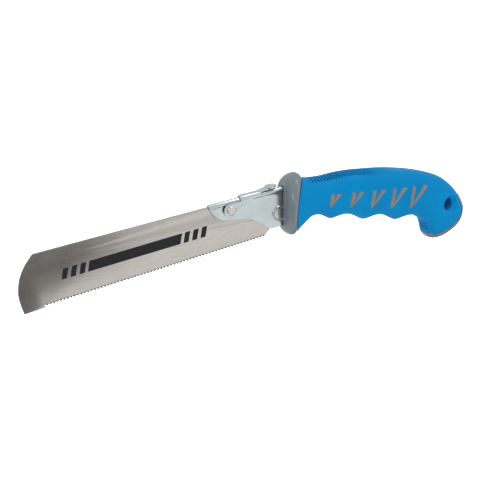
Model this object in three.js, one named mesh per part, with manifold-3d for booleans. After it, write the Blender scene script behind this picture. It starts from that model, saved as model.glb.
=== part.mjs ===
// Drywall saw with a pull-out blade: a folded steel holder with a latch lever, on a two-colour grip.
// Millimetres. X runs along the blade's back edge with the tip at -X and the grip at +X.
// +Z is up, and Y = 0 is the blade's mid-plane.
import * as THREE from "three";
import Module from "manifold-3d";

const wasm = await Module();
wasm.setup();

// ---- driving dimensions ----
const BLADE_THICKNESS = 0.8;
const BLADE_BACK_FRONT_Z = 0.8;
const BLADE_BACK_REAR_Z = 1.9;
const BLADE_BACK_BEND_X = -60.0;
const BLADE_TIP_X = -187.8;
const BLADE_REAR_X = -8.4;
const TOOTH_PITCH = 2.3;
const TOOTH_HEIGHT = 1.3;
const TOOTH_COUNT = 67;
const TEETH_FRONT = [-171.8, -35.6];
const TEETH_REAR = [-17.8, -28.4];

const SHEET = 1.0;
const HOLDER_GAP = 1.0;
const HOLDER_HALF = HOLDER_GAP / 2 + SHEET;
const SPINE_TOP_Z = 3.1;
const BEAD_RADIUS = 2.0;

const RIVET_X = -40.0;
const RIVET_Z = -3.7;
const RIVET_RADIUS = 2.0;
const RIVET_HEAD_RADIUS = 3.2;
const RIVET_HEAD_HEIGHT = 1.2;
const WASHER_RADIUS = 3.3;
const WASHER_THICKNESS = 0.6;
const TURNING_GAP = 0.1;
const SLIDING_GAP = 0.3;

const LEVER_INNER_Y = HOLDER_HALF + WASHER_THICKNESS + 0.05;
const LEVER_SHEET = 0.9;
const LEVER_OUTER_Y = LEVER_INNER_Y + LEVER_SHEET;
const LEVER_EYE_RADIUS = 5.0;
const LEVER_WEB_BOTTOM_Z = 3.25;
const LEVER_WEB_TOP_Z = LEVER_WEB_BOTTOM_Z + LEVER_SHEET;
const LEVER_WEB_FRONT_X = -32.5;
const LEVER_WEB_REAR_X = -18.0;
const THUMB_TAB_X = -9.8;
const THUMB_TAB_RADIUS = 4.2;
const THUMB_TAB_RISE = 1.5;
const THUMB_NECK_HALF_WIDTH = 2.5;

const STOP_PIN_X = -6.0;
const STOP_PIN_Z = -14.6;
const STOP_PIN_RADIUS = 2.0;
const STOP_PIN_HEAD_RADIUS = 5.4;
const STOP_PIN_HEAD_HEIGHT = 0.8;

const TANG_REAR_X = 58.0;
const TANG_PIN_RADIUS = 2.0;
const TANG_PIN_HALF_LENGTH = 7.0;
const TANG_PINS = [
  ["tang_pin_front", 18.0, -9.0],
  ["tang_pin_rear", 46.0, -15.5],
];

const FIT_GAP = 0.3;
const CORE_INSET = 3.6;
const CORE_FIRST_STATION = 1.0;
const CORE_LAST_STATION = 10.0;
const CORE_END_GAP = 0.1;
const GROOVE_PITCH = 23.5;
const GROOVE_DEPTH = 3.4;
const GROOVE_CREST_X = 28.9;
const GRIP_DROOP_DEG = 15.0;

const CHEVRON_COUNT = 5;
const CHEVRON_PITCH = 15.1;
const CHEVRON_FIRST_U = 30.0;
const CHEVRON_TIP_V = -8.6;
const CHEVRON_LEG_V = 0.6;
const CHEVRON_NOTCH_V = -3.4;
const CHEVRON_DEPTH = 1.6;

const HANG_HOLE_X = 116.2;
const HANG_HOLE_Z = -36.9;
const HANG_HOLE_HALF_WIDTH = 3.6;
const HANG_HOLE_HALF_HEIGHT = 4.4;
const HANG_HOLE_LEAN_DEG = 15.0;
const HANG_HOLE_RIM_RADIUS = 6.2;
const HANG_HOLE_DISH = 3.0;
const HANG_HOLE_FACE_Y = 11.6;

const TRIM_START_STATION = 13.0;
const TRIM_END_STATION = 12.9;
const TRIM_END_DEPTH = 2.6;
const TRIM_SWELL = 1.5;
const TRIM_STAND_OUT = 0.3;

const ROUND_SEGMENTS = 32;
// Cutters reach this far to each side: past the steel parts, and past the grip.
const PAST_STEEL = 6;
const PAST_GRIP = 20;

// ---- materials ----
const finish = (color, roughness, metalness) =>
  new THREE.MeshStandardMaterial({ color, roughness, metalness });
const BLADE_STEEL = [0xb5afa8, 0.38, 1.0];
const ZINC_STEEL = [0xc3ced2, 0.28, 1.0];
const RIVET_STEEL = [0xb9aca8, 0.45, 1.0];
const BLUE_RUBBER = [0x0083c6, 0.55, 0.0];
const GREY_PLASTIC = [0x6f7a80, 0.5, 0.0];
const CHEVRON_GREY = [0x787878, 0.6, 0.0];
const CORE_PLASTIC = [0x4a4f54, 0.6, 0.0];

// ---- helpers ----

// Weld a geometry's corners by position, so manifold sees one closed surface.
function weld(geometry) {
  const flat = geometry.index ? geometry.toNonIndexed() : geometry;
  const source = flat.getAttribute("position");
  const keys = new Map();
  const corners = [];
  const triangles = [];
  for (let i = 0; i < source.count; i += 1) {
    const point = [source.getX(i), source.getY(i), source.getZ(i)];
    const key = point.map((value) => Math.round(value * 1e4)).join(",");
    if (!keys.has(key)) {
      keys.set(key, corners.length / 3);
      corners.push(...point);
    }
    triangles.push(keys.get(key));
  }
  const kept = [];
  for (let i = 0; i < triangles.length; i += 3) {
    const [a, b, c] = triangles.slice(i, i + 3);
    if (a !== b && b !== c && a !== c) {
      kept.push(a, b, c);
    }
  }
  return { corners, kept };
}

function solidOf(geometry) {
  const { corners, kept } = weld(geometry);
  const mesh = new wasm.Mesh({
    numProp: 3,
    vertProperties: new Float32Array(corners),
    triVerts: new Uint32Array(kept),
  });
  return new wasm.Manifold(mesh);
}

function geometryOf(solid) {
  const mesh = solid.getMesh();
  const geometry = new THREE.BufferGeometry();
  const positions = new Float32Array(mesh.vertProperties);
  geometry.setAttribute("position", new THREE.BufferAttribute(positions, 3));
  geometry.setIndex(new THREE.BufferAttribute(new Uint32Array(mesh.triVerts), 1));
  const shaded = geometry.toNonIndexed();
  shaded.computeVertexNormals();
  return shaded;
}

// A side outline [[x, z], ...] given thickness from y0 to y1.
function slab(outline, y0, y1) {
  const shape = new THREE.Shape(outline.map(([x, z]) => new THREE.Vector2(x, z)));
  const geometry = new THREE.ExtrudeGeometry(shape, { depth: y1 - y0, bevelEnabled: false });
  geometry.rotateX(Math.PI / 2);
  geometry.translate(0, y1, 0);
  return solidOf(geometry);
}

// A cross-section [[y, z], ...] carried along X from x0 to x1.
function bar(section, x0, x1) {
  const shape = new THREE.Shape(section.map(([y, z]) => new THREE.Vector2(y, z)));
  const geometry = new THREE.ExtrudeGeometry(shape, { depth: x1 - x0, bevelEnabled: false });
  const basis = new THREE.Matrix4().makeBasis(
    new THREE.Vector3(0, 1, 0),
    new THREE.Vector3(0, 0, 1),
    new THREE.Vector3(1, 0, 0),
  );
  geometry.applyMatrix4(basis);
  geometry.translate(x0, 0, 0);
  return solidOf(geometry);
}

// A turned shape on an axis along Y through (x, z); profile is [[radius, y], ...] with rising y.
function turned(profile, x, z, segments = ROUND_SEGMENTS) {
  const points = profile.map(([radius, y]) => new THREE.Vector2(radius, y));
  const geometry = new THREE.LatheGeometry(points, segments);
  geometry.translate(x, 0, z);
  return solidOf(geometry);
}

function disc(radius, y0, y1, x, z) {
  const profile = [
    [0, y0],
    [radius, y0],
    [radius, y1],
    [0, y1],
  ];
  return turned(profile, x, z);
}

function arc(x, z, radius, fromDeg, toDeg, steps) {
  const points = [];
  for (let i = 0; i <= steps; i += 1) {
    const angle = THREE.MathUtils.degToRad(fromDeg + ((toDeg - fromDeg) * i) / steps);
    points.push([x + radius * Math.cos(angle), z + radius * Math.sin(angle)]);
  }
  return points;
}

function smoothThrough(points, steps) {
  const curve = new THREE.CatmullRomCurve3(
    points.map(([x, z]) => new THREE.Vector3(x, 0, z)),
    false,
    "centripetal",
  );
  return curve.getPoints(steps).map((point) => [point.x, point.z]);
}

const group = new THREE.Group();
function addPiece(name, solid, [color, roughness, metalness]) {
  const mesh = new THREE.Mesh(geometryOf(solid), finish(color, roughness, metalness));
  mesh.name = name;
  group.add(mesh);
}

// ---- blade ----

function toothLine() {
  const [frontX, frontZ] = TEETH_FRONT;
  const [rearX, rearZ] = TEETH_REAR;
  const slope = (rearZ - frontZ) / (rearX - frontX);
  const points = [];
  for (let i = 0; i < TOOTH_COUNT; i += 1) {
    const x = frontX + i * TOOTH_PITCH;
    const tipX = x + TOOTH_PITCH / 2;
    points.push([x, frontZ + slope * (x - frontX) + TOOTH_HEIGHT]);
    points.push([tipX, frontZ + slope * (tipX - frontX)]);
  }
  points.push([rearX, rearZ + TOOTH_HEIGHT]);
  return points;
}

const nose = smoothThrough(
  [
    [-174.3, BLADE_BACK_FRONT_Z],
    [-180.8, -6.0],
    [-185.3, -13.5],
    [BLADE_TIP_X, -23.0],
    [-187.5, -30.4],
    [-186.3, -37.2],
  ],
  14,
);
const rivetSlotHalf = RIVET_RADIUS + SLIDING_GAP;
const stopNotchHalf = STOP_PIN_RADIUS + SLIDING_GAP;
const bladeOutline = [
  ...nose,
  [-172.3, -36.3],
  ...toothLine(),
  [-14.1, -24.4],
  [-11.0, -20.5],
  [BLADE_REAR_X, -19.5],
  [BLADE_REAR_X, STOP_PIN_Z - stopNotchHalf],
  ...arc(STOP_PIN_X, STOP_PIN_Z, stopNotchHalf, 240, 120, 8),
  [BLADE_REAR_X, STOP_PIN_Z + stopNotchHalf],
  [BLADE_REAR_X, RIVET_Z - rivetSlotHalf],
  ...arc(RIVET_X, RIVET_Z, rivetSlotHalf, 270, 90, 12),
  [BLADE_REAR_X, RIVET_Z + rivetSlotHalf],
  [BLADE_REAR_X, BLADE_BACK_REAR_Z],
  [BLADE_BACK_BEND_X, BLADE_BACK_REAR_Z],
];
addPiece("blade", slab(bladeOutline, -BLADE_THICKNESS / 2, BLADE_THICKNESS / 2), BLADE_STEEL);

// ---- blade holder: one folded sheet with its fold on top, running back into the grip as a tang ----

const holderLowerEdge = smoothThrough(
  [
    [-55.2, SPINE_TOP_Z],
    [-53.4, -2.4],
    [-50.1, -6.6],
    [-46.0, -9.4],
    [-40.8, -10.6],
    [-36.3, -11.0],
    [-30.1, -12.3],
    [-24.9, -14.7],
    [-19.8, -18.2],
    [-13.6, -23.8],
  ],
  30,
);
const tangTop = -3.0;
const tangOutline = [
  [4.0, -23.2],
  [10.0, -18.0],
  [TANG_REAR_X - 3, -21.5],
  [TANG_REAR_X, -18.5],
  [TANG_REAR_X, -15.0],
  [TANG_REAR_X - 3, -12.0],
  [12.0, tangTop],
  [6.5, tangTop],
  [4.5, -1.0],
  [4.5, SPINE_TOP_Z],
];

// Section of the holder: two sides that meet in a round bead at the top.
function beadedSection(bottom) {
  const steps = 16;
  const middle = SPINE_TOP_Z - BEAD_RADIUS;
  const boreRadius = BEAD_RADIUS - SHEET;
  const gap = HOLDER_GAP / 2;
  const outerAngle = THREE.MathUtils.radToDeg(Math.acos(HOLDER_HALF / BEAD_RADIUS));
  const innerAngle = THREE.MathUtils.radToDeg(Math.acos(gap / boreRadius));
  return [
    [HOLDER_HALF, bottom],
    ...arc(0, middle, BEAD_RADIUS, -outerAngle, 180 + outerAngle, steps),
    [-HOLDER_HALF, bottom],
    [-gap, bottom],
    ...arc(0, middle, boreRadius, 180 + innerAngle, -innerAngle, steps),
    [gap, bottom],
  ];
}
const holderFold = bar(beadedSection(-40), -60, TANG_REAR_X + 5);
let holder = slab([...holderLowerEdge, ...tangOutline], -PAST_STEEL, PAST_STEEL).intersect(holderFold);
const throughPins = [
  [RIVET_RADIUS, RIVET_X, RIVET_Z],
  [STOP_PIN_RADIUS, STOP_PIN_X, STOP_PIN_Z],
  ...TANG_PINS.map(([, x, z]) => [TANG_PIN_RADIUS, x, z]),
];
throughPins.forEach(([radius, x, z]) => {
  holder = holder.subtract(disc(radius + TURNING_GAP, -PAST_STEEL, PAST_STEEL, x, z));
});
addPiece("blade_holder", holder, ZINC_STEEL);

// ---- spacer plate between the holder's two sides, inside the grip ----

const spacerOutline = [
  [0.5, -20.5],
  [10.5, -17.0],
  [TANG_REAR_X - 4, -20.5],
  [TANG_REAR_X - 1, -17.5],
  [TANG_REAR_X - 1, -15.5],
  [TANG_REAR_X - 4, -12.8],
  [12.0, -4.0],
  [0.5, -2.5],
];
let spacer = slab(spacerOutline, -HOLDER_GAP / 2 + 0.02, HOLDER_GAP / 2 - 0.02);
TANG_PINS.forEach(([, x, z]) => {
  spacer = spacer.subtract(disc(TANG_PIN_RADIUS + TURNING_GAP, -2, 2, x, z));
});
addPiece("tang_spacer", spacer, ZINC_STEEL);

// ---- pivot rivet and its washers ----

const headInner = LEVER_OUTER_Y + 0.05;
const headOuter = headInner + RIVET_HEAD_HEIGHT;
const headChamfer = 0.9;
const headRim = headOuter - 0.7;
const rivetProfile = [
  [0, -headOuter],
  [RIVET_HEAD_RADIUS - headChamfer, -headOuter],
  [RIVET_HEAD_RADIUS, -headRim],
  [RIVET_HEAD_RADIUS, -headInner],
  [RIVET_RADIUS, -headInner],
  [RIVET_RADIUS, headInner],
  [RIVET_HEAD_RADIUS, headInner],
  [RIVET_HEAD_RADIUS, headRim],
  [RIVET_HEAD_RADIUS - headChamfer, headOuter],
  [0, headOuter],
];
addPiece("pivot_rivet", turned(rivetProfile, RIVET_X, RIVET_Z), RIVET_STEEL);

function washer(y0, y1) {
  const ring = disc(WASHER_RADIUS, y0, y1, RIVET_X, RIVET_Z);
  return ring.subtract(disc(RIVET_RADIUS + TURNING_GAP, y0 - 1, y1 + 1, RIVET_X, RIVET_Z));
}
addPiece("washer_near", washer(-HOLDER_HALF - WASHER_THICKNESS, -HOLDER_HALF), ZINC_STEEL);
addPiece("washer_far", washer(HOLDER_HALF, HOLDER_HALF + WASHER_THICKNESS), ZINC_STEEL);

// ---- latch lever: two arms on the rivet, a web over the spine and a thumb tab at the rear ----

const armOutline = [
  ...arc(RIVET_X, RIVET_Z, LEVER_EYE_RADIUS, 112, 300, 20),
  [-31.2, -4.7],
  [-24.1, 0.6],
  [-20.6, 1.6],
  [LEVER_WEB_REAR_X, 2.0],
  [LEVER_WEB_REAR_X, LEVER_WEB_TOP_Z],
  [LEVER_WEB_FRONT_X, LEVER_WEB_TOP_Z],
  [LEVER_WEB_FRONT_X, 1.0],
  [-36.6, 0.7],
];
const leverCorner = 1.4;
const leverInnerCorner = 0.4;
const leverBottom = -12;
const webCornerZ = LEVER_WEB_BOTTOM_Z - leverInnerCorner;
const leverSection = [
  [LEVER_OUTER_Y, leverBottom],
  ...arc(LEVER_OUTER_Y - leverCorner, LEVER_WEB_TOP_Z - leverCorner, leverCorner, 0, 90, 6),
  ...arc(-LEVER_OUTER_Y + leverCorner, LEVER_WEB_TOP_Z - leverCorner, leverCorner, 90, 180, 6),
  [-LEVER_OUTER_Y, leverBottom],
  [-LEVER_INNER_Y, leverBottom],
  ...arc(-LEVER_INNER_Y + leverInnerCorner, webCornerZ, leverInnerCorner, 180, 90, 3),
  ...arc(LEVER_INNER_Y - leverInnerCorner, webCornerZ, leverInnerCorner, 90, 0, 3),
  [LEVER_INNER_Y, leverBottom],
];
const tabStartX = LEVER_WEB_REAR_X - 1;
const tabLine = (underside) => {
  const steps = 10;
  const points = [];
  for (let i = 0; i <= steps; i += 1) {
    const t = i / steps;
    const x = tabStartX + t * (THUMB_TAB_X + THUMB_TAB_RADIUS - tabStartX);
    const lift = THUMB_TAB_RISE * THREE.MathUtils.smoothstep(t, 0, 0.7);
    points.push([x, underside + lift]);
  }
  return points;
};
const tabSide = [...tabLine(LEVER_WEB_BOTTOM_Z), ...tabLine(LEVER_WEB_TOP_Z).reverse()];
function tabPlan() {
  const neck = THUMB_NECK_HALF_WIDTH;
  const neckAngle = Math.PI - Math.asin(neck / THUMB_TAB_RADIUS);
  const shape = new THREE.Shape();
  shape.moveTo(LEVER_WEB_REAR_X - 2, -neck);
  shape.absarc(THUMB_TAB_X, 0, THUMB_TAB_RADIUS, -neckAngle, neckAngle, false);
  shape.lineTo(LEVER_WEB_REAR_X - 2, neck);
  const options = { depth: 12, bevelEnabled: false, curveSegments: 20 };
  return solidOf(new THREE.ExtrudeGeometry(shape, options));
}
const tab = slab(tabSide, -PAST_STEEL, PAST_STEEL).intersect(tabPlan());
let lever = slab(armOutline, -PAST_STEEL, PAST_STEEL)
  .intersect(bar(leverSection, -60, 0))
  .add(tab);
const eyeBore = disc(RIVET_RADIUS + TURNING_GAP, -PAST_STEEL, PAST_STEEL, RIVET_X, RIVET_Z);
lever = lever.subtract(eyeBore);
addPiece("latch_lever", lever, ZINC_STEEL);

// ---- stop pin that seats the blade's rear notch ----

const pinHeadOuter = HOLDER_HALF + STOP_PIN_HEAD_HEIGHT;
const pinHeadRim = pinHeadOuter - 0.4;
const pinHeadFace = STOP_PIN_HEAD_RADIUS - 0.5;
const stopProfile = [
  [0, -pinHeadOuter],
  [pinHeadFace, -pinHeadOuter],
  [STOP_PIN_HEAD_RADIUS, -pinHeadRim],
  [STOP_PIN_HEAD_RADIUS, -HOLDER_HALF],
  [STOP_PIN_RADIUS, -HOLDER_HALF],
  [STOP_PIN_RADIUS, HOLDER_HALF],
  [STOP_PIN_HEAD_RADIUS, HOLDER_HALF],
  [STOP_PIN_HEAD_RADIUS, pinHeadRim],
  [pinHeadFace, pinHeadOuter],
  [0, pinHeadOuter],
];
addPiece("blade_stop_pin", turned(stopProfile, STOP_PIN_X, STOP_PIN_Z), ZINC_STEEL);

// ---- lofted bodies: every section runs from a point on the top line to a point on the bottom line ----

const curveThrough = (points) =>
  new THREE.CatmullRomCurve3(
    points.map(([x, y, z]) => new THREE.Vector3(x, y, z)),
    false,
    "centripetal",
  );

// stations: [top x, top z, bottom x, bottom z, half width, squareness, bow]
// Squareness 2 is an ellipse and more is boxier; bow is how far the section's sides run ahead of its middle.
function loft(stations, { rings, around, inset = 0, from = 0, to = 1, groove = null }) {
  const topLine = curveThrough(stations.map(([x, z, , , half]) => [x, half, z]));
  const bottomLine = curveThrough(stations.map(([, , x, z, half]) => [x, half, z]));
  const formLine = curveThrough(stations.map(([, , , , , power, bow], i) => [power, bow, i]));
  const positions = [];
  for (let k = 0; k <= rings; k += 1) {
    const s = from + ((to - from) * k) / rings;
    const top = topLine.getPoint(s);
    const bottom = bottomLine.getPoint(s);
    const { x: power, y: bow } = formLine.getPoint(s);
    const half = Math.max(0.4, top.y - inset);
    const up = new THREE.Vector3(top.x - bottom.x, 0, top.z - bottom.z).normalize();
    top.addScaledVector(up, -inset);
    bottom.addScaledVector(up, inset + (groove ? groove(bottom.x) : 0));
    const middle = new THREE.Vector3((top.x + bottom.x) / 2, 0, (top.z + bottom.z) / 2);
    const reach = Math.hypot(top.x - bottom.x, top.z - bottom.z) / 2;
    for (let j = 0; j < around; j += 1) {
      const angle = (2 * Math.PI * j) / around;
      const c = Math.cos(angle);
      const d = Math.sin(angle);
      const along = Math.sign(c) * Math.abs(c) ** (2 / power) * reach;
      const across = Math.sign(d) * Math.abs(d) ** (2 / power) * half;
      const ahead = bow * (across / top.y) ** 2;
      positions.push(middle.x + up.x * along - ahead, across, middle.z + up.z * along);
    }
  }
  const firstHub = positions.length / 3;
  const hubOf = (ring) => {
    const sum = [0, 0, 0];
    for (let j = 0; j < around; j += 1) {
      for (let axis = 0; axis < 3; axis += 1) {
        sum[axis] += positions[(ring * around + j) * 3 + axis] / around;
      }
    }
    return sum;
  };
  positions.push(...hubOf(0), ...hubOf(rings));
  const index = [];
  for (let k = 0; k < rings; k += 1) {
    for (let j = 0; j < around; j += 1) {
      const a = k * around + j;
      const b = k * around + ((j + 1) % around);
      const c = a + around;
      const d = b + around;
      index.push(a, c, b, b, c, d);
    }
  }
  for (let j = 0; j < around; j += 1) {
    const next = (j + 1) % around;
    index.push(firstHub, j, next);
    index.push(firstHub + 1, rings * around + next, rings * around + j);
  }
  const geometry = new THREE.BufferGeometry();
  geometry.setAttribute("position", new THREE.Float32BufferAttribute(positions, 3));
  geometry.setIndex(index);
  return solidOf(geometry);
}

// ---- grip ----

const GRIP_STATIONS = [
  [12.0, 6.2, 4.4, -29.6, 13.0, 2.3, 5.0],
  [15.0, 5.1, 8.0, -27.0, 12.6, 2.3, 4.4],
  [19.5, 4.0, 12.5, -25.4, 12.3, 2.35, 3.2],
  [27.0, 3.0, 20.0, -25.0, 12.2, 2.4, 1.6],
  [40.0, 2.7, 32.3, -27.8, 12.8, 2.5, 0.4],
  [52.0, 1.4, 44.5, -31.1, 13.4, 2.6, 0.0],
  [65.0, -0.8, 57.0, -34.4, 13.8, 2.7, 0.0],
  [78.0, -3.6, 69.0, -37.5, 13.8, 2.8, 0.0],
  [91.0, -7.4, 81.0, -40.7, 13.4, 2.9, 0.0],
  [101.3, -11.2, 89.0, -42.7, 13.0, 3.0, 0.0],
  [108.6, -14.5, 94.8, -43.6, 12.6, 3.1, 0.0],
  [114.9, -18.1, 98.2, -46.3, 12.2, 3.2, 0.0],
  [121.6, -24.9, 99.4, -50.8, 11.8, 3.2, 0.0],
  [126.9, -33.2, 99.7, -55.4, 11.2, 3.2, 0.0],
  [130.0, -42.4, 101.1, -58.7, 10.4, 3.0, 0.0],
  [127.6, -50.4, 104.2, -60.1, 9.2, 2.8, 0.0],
  [120.6, -55.8, 107.8, -60.0, 7.0, 2.6, 0.0],
  [115.8, -58.2, 110.6, -59.6, 4.5, 2.4, 0.0],
];
const lastStation = GRIP_STATIONS.length - 1;
const fingerGroove = (x) => {
  const fadeIn = THREE.MathUtils.smoothstep(x, 6, 15);
  const fadeOut = 1 - THREE.MathUtils.smoothstep(x, 90, 97);
  const wave = Math.abs(Math.sin((Math.PI * (x - GROOVE_CREST_X)) / GROOVE_PITCH)) ** 1.25;
  return GROOVE_DEPTH * wave * fadeIn * fadeOut;
};
const gripOptions = { rings: 68, around: 20, groove: fingerGroove };
const gripOuter = loft(GRIP_STATIONS, gripOptions);
const chevronFloor = loft(GRIP_STATIONS, { ...gripOptions, inset: CHEVRON_DEPTH });
const pocketFloor = loft(GRIP_STATIONS, { ...gripOptions, inset: CHEVRON_DEPTH + FIT_GAP });
const coreLoft = (endGap, inset) =>
  loft(GRIP_STATIONS, {
    rings: 24,
    around: 16,
    from: (CORE_FIRST_STATION + endGap) / lastStation,
    to: (CORE_LAST_STATION - endGap) / lastStation,
    inset,
  });
const coreSpace = coreLoft(0, CORE_INSET);
const coreBody = coreLoft(CORE_END_GAP, CORE_INSET + FIT_GAP);

// Chevron outlines, laid out along the drooping axis of the grip: u runs rearward and v up.
const droop = THREE.MathUtils.degToRad(GRIP_DROOP_DEG);
const fromGripAxes = ([u, v]) => [
  u * Math.cos(droop) + v * Math.sin(droop),
  -u * Math.sin(droop) + v * Math.cos(droop),
];
function chevronOutline(i, grow) {
  const u = CHEVRON_FIRST_U + CHEVRON_PITCH * i;
  const legTop = CHEVRON_LEG_V + 1.75 * i;
  const spread = 5.2 + 1.05 * i;
  const points = [
    [u - 1.3 - grow, CHEVRON_TIP_V + 1.9],
    [u - 0.1, CHEVRON_TIP_V - grow],
    [u + spread + 1.7 + grow, legTop + 0.3 + grow],
    [u + spread - 1.6 - grow, legTop + 0.9 + grow],
    [u + 2.0 - 0.3 * i + 0.9 * grow, CHEVRON_NOTCH_V - 0.4 * i + 4.4 * grow],
    [u + 1.6 + grow, legTop - 0.2 + grow],
    [u - 0.8 - grow, legTop + 0.2 + grow],
  ];
  return points.map(fromGripAxes);
}
const sides = [
  ["near", -PAST_GRIP, -3],
  ["far", 3, PAST_GRIP],
];
const tangSpace = slab(
  [
    [-10, -24],
    [8, -24],
    [10.0, -18.6],
    [TANG_REAR_X - 2.6, -22.1],
    [TANG_REAR_X + 0.5, -18.8],
    [TANG_REAR_X + 0.5, -14.8],
    [TANG_REAR_X - 2.8, -11.6],
    [12.0, tangTop + 0.5],
    [7.0, tangTop + 0.5],
    [7.0, 10],
    [-10, 10],
  ],
  -HOLDER_HALF - FIT_GAP,
  HOLDER_HALF + FIT_GAP,
);
let overmould = gripOuter.subtract(coreSpace).subtract(tangSpace);
sides.forEach(([side, y0, y1]) => {
  for (let i = 0; i < CHEVRON_COUNT; i += 1) {
    const inlay = slab(chevronOutline(i, 0), y0, y1).intersect(gripOuter).subtract(chevronFloor);
    addPiece(`chevron_inlay_${side}_${i + 1}`, inlay, CHEVRON_GREY);
    const pocket = slab(chevronOutline(i, FIT_GAP), y0, y1).subtract(pocketFloor);
    overmould = overmould.subtract(pocket);
  }
});

// Hang hole: straight through, dished on both faces.
const hangProfile = [
  [0, -PAST_GRIP],
  [HANG_HOLE_RIM_RADIUS, -PAST_GRIP],
  [HANG_HOLE_RIM_RADIUS, -HANG_HOLE_FACE_Y],
  [HANG_HOLE_HALF_WIDTH, HANG_HOLE_DISH - HANG_HOLE_FACE_Y],
  [0, HANG_HOLE_DISH - HANG_HOLE_FACE_Y],
];
const hangDish = turned(hangProfile, HANG_HOLE_X, HANG_HOLE_Z);
overmould = overmould.subtract(hangDish).subtract(hangDish.mirror([0, 1, 0]));
const lean = THREE.MathUtils.degToRad(-HANG_HOLE_LEAN_DEG);
const hangStep = 360 / ROUND_SEGMENTS;
const hangCircle = arc(0, 0, 1, 0, 360 - hangStep, ROUND_SEGMENTS - 1);
const hangOutline = hangCircle.map(([c, d]) => {
  const a = c * HANG_HOLE_HALF_WIDTH;
  const b = d * HANG_HOLE_HALF_HEIGHT;
  const x = HANG_HOLE_X + a * Math.cos(lean) - b * Math.sin(lean);
  const z = HANG_HOLE_Z + a * Math.sin(lean) + b * Math.cos(lean);
  return [x, z];
});
overmould = overmould.subtract(slab(hangOutline, -PAST_GRIP, PAST_GRIP));

// Butt trim: a rim round the rear edge, from under the hook round to the back of the palm.
const trimStep = 0.4;
function buttLine(out, swell) {
  const topLine = curveThrough(GRIP_STATIONS.map(([x, z]) => [x, 0, z]));
  const bottomLine = curveThrough(GRIP_STATIONS.map(([, , x, z]) => [x, 0, z]));
  const path = [];
  for (let k = TRIM_START_STATION; k < lastStation; k += trimStep) {
    path.push(topLine.getPoint(k / lastStation));
  }
  for (let k = lastStation - trimStep; k > TRIM_END_STATION; k -= trimStep) {
    path.push(bottomLine.getPoint(k / lastStation));
  }
  return path.map((point, i) => {
    const before = path[Math.max(0, i - 1)];
    const after = path[Math.min(path.length - 1, i + 1)];
    const tangent = after.clone().sub(before).normalize();
    const reach = out - swell * Math.sin((Math.PI * i) / (path.length - 1));
    return [point.x - tangent.z * reach, point.z + tangent.x * reach];
  });
}
const trimOutline = (out, gap) => [
  ...buttLine(out, 0),
  ...buttLine(-TRIM_END_DEPTH - gap, TRIM_SWELL).reverse(),
];
const trimSkin = loft(GRIP_STATIONS, { ...gripOptions, inset: -TRIM_STAND_OUT });
const trim = slab(trimOutline(5, 0), -PAST_GRIP, PAST_GRIP).intersect(trimSkin);
addPiece("butt_trim", trim, GREY_PLASTIC);
overmould = overmould.subtract(slab(trimOutline(6, FIT_GAP), -PAST_GRIP, PAST_GRIP));
addPiece("grip_overmould", overmould, BLUE_RUBBER);

// ---- hard core inside the grip, in two halves that close on the tang ----

function coreHalf(y0, y1) {
  const box = slab(
    [
      [-20, -90],
      [140, -90],
      [140, 40],
      [-20, 40],
    ],
    y0,
    y1,
  );
  let half = coreBody.intersect(box);
  half = half.subtract(tangSpace);
  TANG_PINS.forEach(([, x, z]) => {
    const reach = TANG_PIN_HALF_LENGTH + FIT_GAP;
    half = half.subtract(disc(TANG_PIN_RADIUS + TURNING_GAP, -reach, reach, x, z));
  });
  return half;
}
addPiece("grip_core_near", coreHalf(-PAST_GRIP, -0.05), CORE_PLASTIC);
addPiece("grip_core_far", coreHalf(0.05, PAST_GRIP), CORE_PLASTIC);
TANG_PINS.forEach(([name, x, z]) => {
  const pin = disc(TANG_PIN_RADIUS, -TANG_PIN_HALF_LENGTH, TANG_PIN_HALF_LENGTH, x, z);
  addPiece(name, pin, RIVET_STEEL);
});

// ---- guard collar ----

const GUARD_STATIONS = [
  [-0.8, 4.0, -5.2, -24.4, 6.6, 2.3, 0.4],
  [-0.2, 6.6, -5.0, -26.6, 9.4, 2.3, 0.8],
  [2.6, 8.9, -3.4, -29.2, 11.9, 2.3, 2.0],
  [6.4, 10.1, -0.9, -31.0, 13.5, 2.3, 3.4],
  [9.6, 10.1, 1.4, -31.3, 14.0, 2.3, 4.6],
  [11.8, 8.4, 3.6, -29.8, 13.5, 2.3, 5.0],
];
let guard = loft(GUARD_STATIONS, { rings: 15, around: 28 });
const hollowHalf = BEAD_RADIUS + FIT_GAP;
const hollowTop = SPINE_TOP_Z + FIT_GAP;
const hollowBottom = -24.1;
const guardHollow = bar(
  [
    [hollowHalf, hollowBottom],
    [hollowHalf, hollowTop],
    [-hollowHalf, hollowTop],
    [-hollowHalf, hollowBottom],
  ],
  -20,
  30,
);
guard = guard.subtract(guardHollow);
const bossPocketHalf = HOLDER_HALF + STOP_PIN_HEAD_HEIGHT + FIT_GAP;
const bossPocketRadius = STOP_PIN_HEAD_RADIUS + FIT_GAP;
guard = guard.subtract(
  disc(bossPocketRadius, -bossPocketHalf, bossPocketHalf, STOP_PIN_X, STOP_PIN_Z),
);
const gripClearance = loft(GRIP_STATIONS, { ...gripOptions, inset: -FIT_GAP });
guard = guard.subtract(gripClearance.translate([-FIT_GAP, 0, 0]));
addPiece("guard_collar", guard, GREY_PLASTIC);

// The part's origin is the middle of its box.
const middle = new THREE.Box3().setFromObject(group).getCenter(new THREE.Vector3());
group.position.copy(middle.negate());

export default group;
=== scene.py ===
"""Looks of the drywall saw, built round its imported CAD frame.

Every piece is modelled in the part's own millimetres (X along the blade's back edge, Z up, Y across) and
then moved into the frame, whose origin is the middle of the saw's box.
"""

import math

import bmesh
import bpy
import numpy as np
from mathutils import Matrix, Vector


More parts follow.
